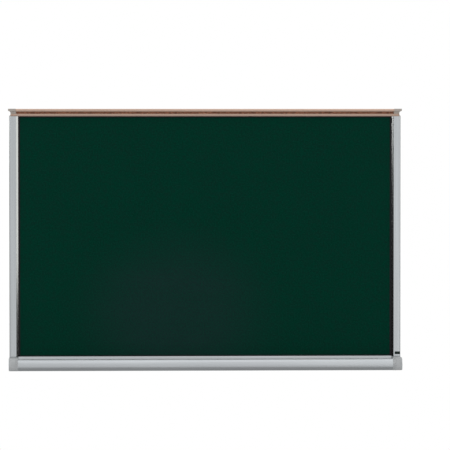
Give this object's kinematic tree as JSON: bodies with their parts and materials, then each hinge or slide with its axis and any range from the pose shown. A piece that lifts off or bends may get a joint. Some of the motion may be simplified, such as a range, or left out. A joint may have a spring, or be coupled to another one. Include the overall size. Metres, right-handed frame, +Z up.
{
  "type": "chalkboard",
  "caption": "Wall-hung chalkboard: laminated green writing panel in an extruded aluminium frame with a cork map rail, chalk tray and a hanging rail behind.",
  "frame": {"origin": "middle of the hanger rail's back face, on the building wall", "axes": "+X to the right of someone facing the board, +Y into the building wall, +Z up; the board faces -Y"},
  "size_m": [0.9196, 0.065, 0.61],
  "materials": {
    "green_enamel": "matte porcelain enamel on steel, faintly dusty",
    "fibreboard": "raw fibreboard",
    "backing_metal": "hot-dip galvanised sheet",
    "satin_aluminium": "satin anodised extrusion",
    "mill_aluminium": "mill finish extrusion",
    "cork": "granulated cork",
    "black_vinyl": "matte extruded vinyl",
    "grey_plastic": "fine moulded texture",
    "stop_plastic": "fine moulded texture",
    "zinc_steel": "bright zinc plate",
    "black_plate": "dark anodised plate, bare"
  },
  "bodies": {
    "root": {"writing_sheet": "green_enamel", "core_board": "fibreboard", "backing_sheet": "backing_metal", "map_rail": "satin_aluminium", "cork_strip": "cork", "chalk_tray": "satin_aluminium", "left_side_trim": "satin_aluminium", "right_side_trim": "satin_aluminium", "gasket_top": "black_vinyl", "gasket_bottom": "black_vinyl", "gasket_left": "black_vinyl", "gasket_right": "black_vinyl", "hanger_rail": "mill_aluminium", "blank_plate": "black_plate", "rail_end_stop_left": "stop_plastic", "rail_end_stop_right": "stop_plastic", "tray_end_cap_left": "grey_plastic", "tray_end_cap_right": "grey_plastic", "lower_wall_clip_left": "zinc_steel", "lower_wall_clip_right": "zinc_steel", "cap_screw_left_rear": "zinc_steel", "frame_screw_top_left_rear": "zinc_steel", "frame_screw_bottom_left_rear": "zinc_steel", "cap_screw_left_front": "zinc_steel", "frame_screw_top_left_front": "zinc_steel", "frame_screw_bottom_left_front": "zinc_steel", "cap_screw_right_rear": "zinc_steel", "frame_screw_top_right_rear": "zinc_steel", "frame_screw_bottom_right_rear": "zinc_steel", "cap_screw_right_front": "zinc_steel", "frame_screw_top_right_front": "zinc_steel", "frame_screw_bottom_right_front": "zinc_steel"}
  },
  "joints": []
}
